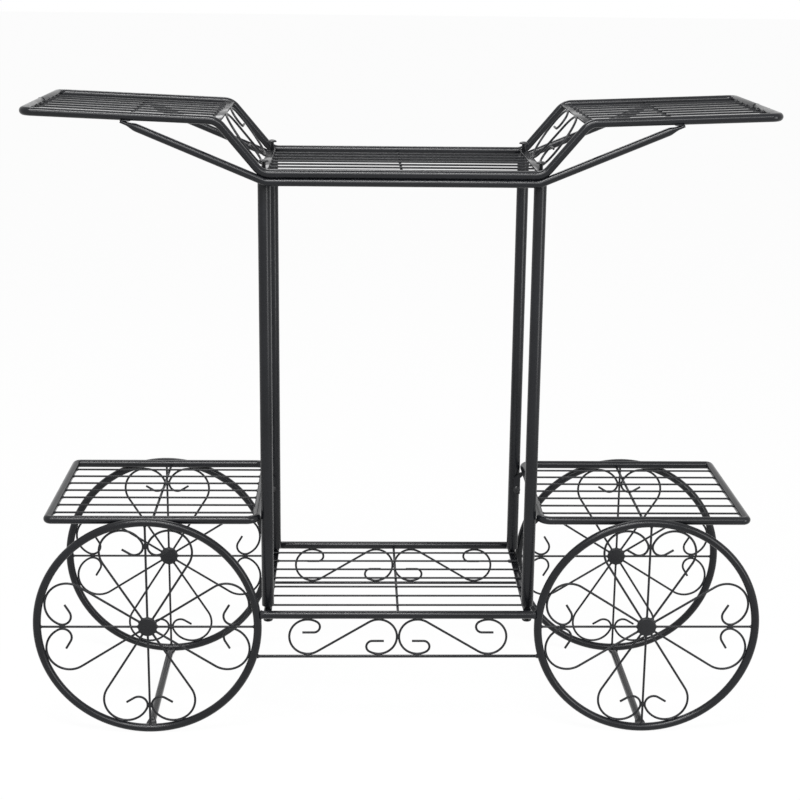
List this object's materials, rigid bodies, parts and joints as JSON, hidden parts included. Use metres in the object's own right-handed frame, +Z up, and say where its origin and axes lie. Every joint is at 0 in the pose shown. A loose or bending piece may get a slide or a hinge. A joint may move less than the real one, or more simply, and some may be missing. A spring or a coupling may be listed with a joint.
{
  "type": "flower cart stand",
  "caption": "Cart-shaped tiered plant stand of welded tube and wire: scrolled wheels, side shelves over the wheels, centre shelf, posts and a winged top shelf.",
  "frame": {"origin": "on the floor, under the middle of the stand", "axes": "+X to the right along the stand's length, +Y to the back, +Z up; the pictured side faces -Y"},
  "size_m": [1.135, 0.3328, 0.9768],
  "materials": {
    "black_metal": "gloss",
    "bolt_black": "satin"
  },
  "bodies": {
    "root": {"centre_shelf_cross_wire": "black_metal", "centre_shelf_slats": "black_metal", "front_brace": "black_metal", "front_left_post": "black_metal", "front_left_wheel_hearts": "black_metal", "front_left_wheel_hub": "black_metal", "front_left_wheel_rim": "black_metal", "front_left_wheel_spokes": "black_metal", "front_lower_rail": "black_metal", "front_lower_wire": "black_metal", "front_panel_scrolls": "black_metal", "front_right_post": "black_metal", "front_right_wheel_hearts": "black_metal", "front_right_wheel_hub": "black_metal", "front_right_wheel_rim": "black_metal", "front_right_wheel_spokes": "black_metal", "front_top_rail": "black_metal", "left_lower_post_bar": "black_metal", "left_side_shelf_cross_wire": "black_metal", "left_side_shelf_frame": "black_metal", "left_side_shelf_slats": "black_metal", "left_slope_scroll": "black_metal", "left_upper_post_bar": "black_metal", "left_wheel_cross_tube": "black_metal", "left_wing_bend_bar": "black_metal", "left_wing_cross_wire": "black_metal", "left_wing_slats": "black_metal", "lower_post_bolts": "bolt_black", "lower_shelf_cross_wire": "black_metal", "lower_shelf_slats": "black_metal", "lug_screws": "bolt_black", "rear_brace": "black_metal", "rear_left_post": "black_metal", "rear_left_wheel_hearts": "black_metal", "rear_left_wheel_hub": "black_metal", "rear_left_wheel_rim": "black_metal", "rear_left_wheel_spokes": "black_metal", "rear_lower_rail": "black_metal", "rear_lower_wire": "black_metal", "rear_panel_scrolls": "black_metal", "rear_right_post": "black_metal", "rear_right_wheel_hearts": "black_metal", "rear_right_wheel_hub": "black_metal", "rear_right_wheel_rim": "black_metal", "rear_right_wheel_spokes": "black_metal", "rear_top_rail": "black_metal", "right_lower_post_bar": "black_metal", "right_side_shelf_cross_wire": "black_metal", "right_side_shelf_frame": "black_metal", "right_side_shelf_slats": "black_metal", "right_slope_scroll": "black_metal", "right_upper_post_bar": "black_metal", "right_wheel_cross_tube": "black_metal", "right_wing_bend_bar": "black_metal", "right_wing_cross_wire": "black_metal", "right_wing_slats": "black_metal", "side_shelf_lugs": "black_metal", "top_post_bolts": "bolt_black"}
  },
  "joints": []
}
